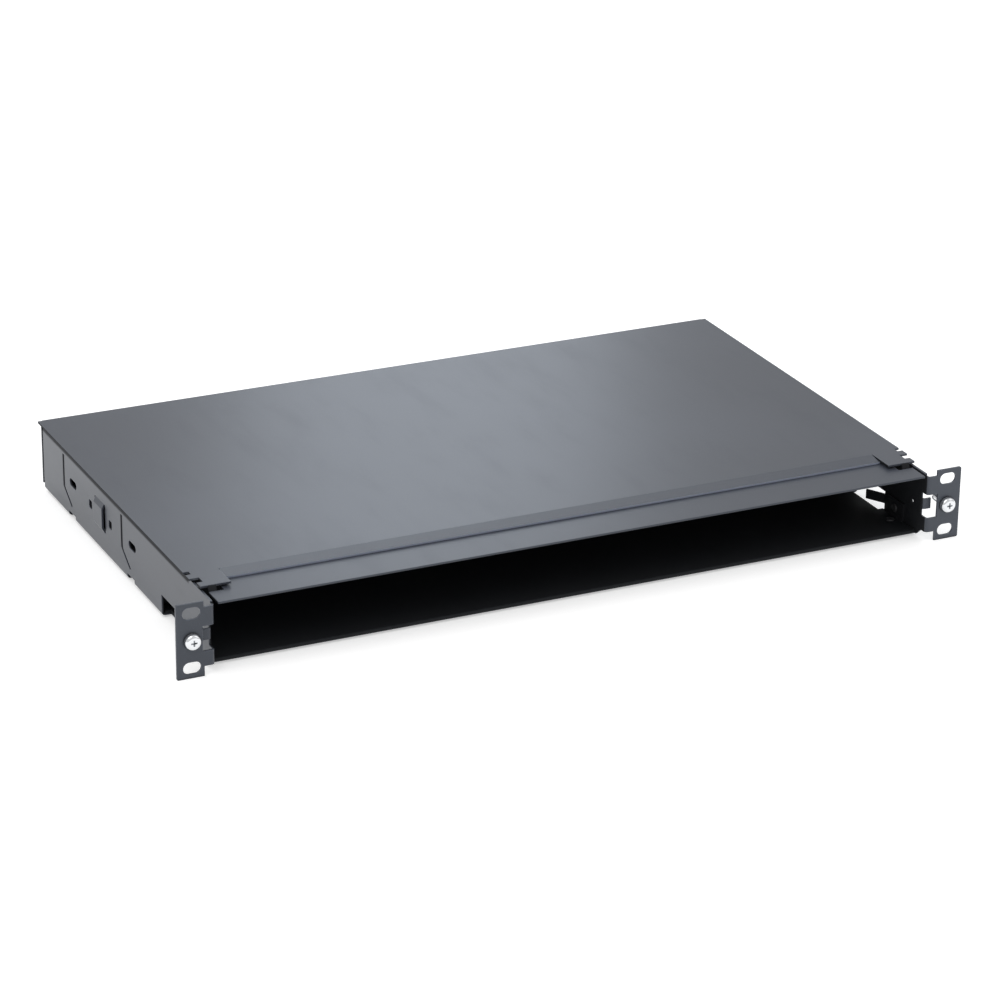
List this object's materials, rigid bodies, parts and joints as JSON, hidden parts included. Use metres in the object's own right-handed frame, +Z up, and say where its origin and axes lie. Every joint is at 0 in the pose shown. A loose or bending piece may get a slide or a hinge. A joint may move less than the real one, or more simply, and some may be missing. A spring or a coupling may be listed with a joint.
{
  "type": "rack fibre patch panel",
  "caption": "Open-front fibre enclosure for a 19-inch rack, one unit high, folded from sheet steel, with a lift-up cover, adapter windows, slack spools and rear cable entries.",
  "frame": {"origin": "centre of the four rack slots on the rear face of the ears", "axes": "+X to the right seen from the front, +Y to the rear, +Z up"},
  "size_m": [0.4826, 0.2941, 0.0438],
  "materials": {
    "black_powder_coat": "satin",
    "black_plastic": "matte",
    "rubber": "matte",
    "blackened_steel": "satin",
    "bright_zinc": "polished"
  },
  "bodies": {
    "chassis": {"right_side_plate": "black_powder_coat", "left_side_plate": "black_powder_coat", "base_pan": "black_powder_coat", "front_rail": "black_powder_coat", "rear_panel": "black_powder_coat", "adapter_bulkhead": "black_powder_coat", "left_tie_bracket": "black_powder_coat", "right_tie_bracket": "black_powder_coat", "latch_receptacles": "black_plastic", "left_spool": "black_plastic", "right_spool": "black_plastic", "left_outer_grommet": "rubber", "left_inner_grommet": "rubber", "right_inner_grommet": "rubber", "right_outer_grommet": "rubber", "floor_rivets": "blackened_steel", "rear_floor_rivets": "blackened_steel", "bulkhead_rivets": "blackened_steel", "tie_bracket_rivets": "blackened_steel", "pan_tab_rivets": "blackened_steel", "rear_rivets": "blackened_steel", "rail_rivets": "blackened_steel", "cover_screws": "bright_zinc", "cover_nuts": "bright_zinc", "spool_screws": "bright_zinc", "ground_stud": "bright_zinc", "ground_washer": "bright_zinc", "ground_nut": "bright_zinc"},
    "cover": {"top_cover": "black_powder_coat"},
    "left_rack_screw": {"left_rack_screw": "bright_zinc", "left_retaining_washer": "bright_zinc"},
    "right_rack_screw": {"right_rack_screw": "bright_zinc", "right_retaining_washer": "bright_zinc"}
  },
  "joints": [
    {"name": "cover_tilt", "type": "hinge", "parent": "chassis", "child": "cover", "pos_m": [0, 0.0135, 0.0181], "axis": [1, 0, 0], "range_deg": [0, 45]},
    {"name": "left_rack_screw_turn", "type": "hinge", "parent": "chassis", "child": "left_rack_screw", "pos_m": [-0.23255, 0, 0], "axis": [0, 1, 0], "continuous": true},
    {"name": "right_rack_screw_turn", "type": "hinge", "parent": "chassis", "child": "right_rack_screw", "pos_m": [0.23255, 0, 0], "axis": [0, 1, 0], "continuous": true}
  ]
}
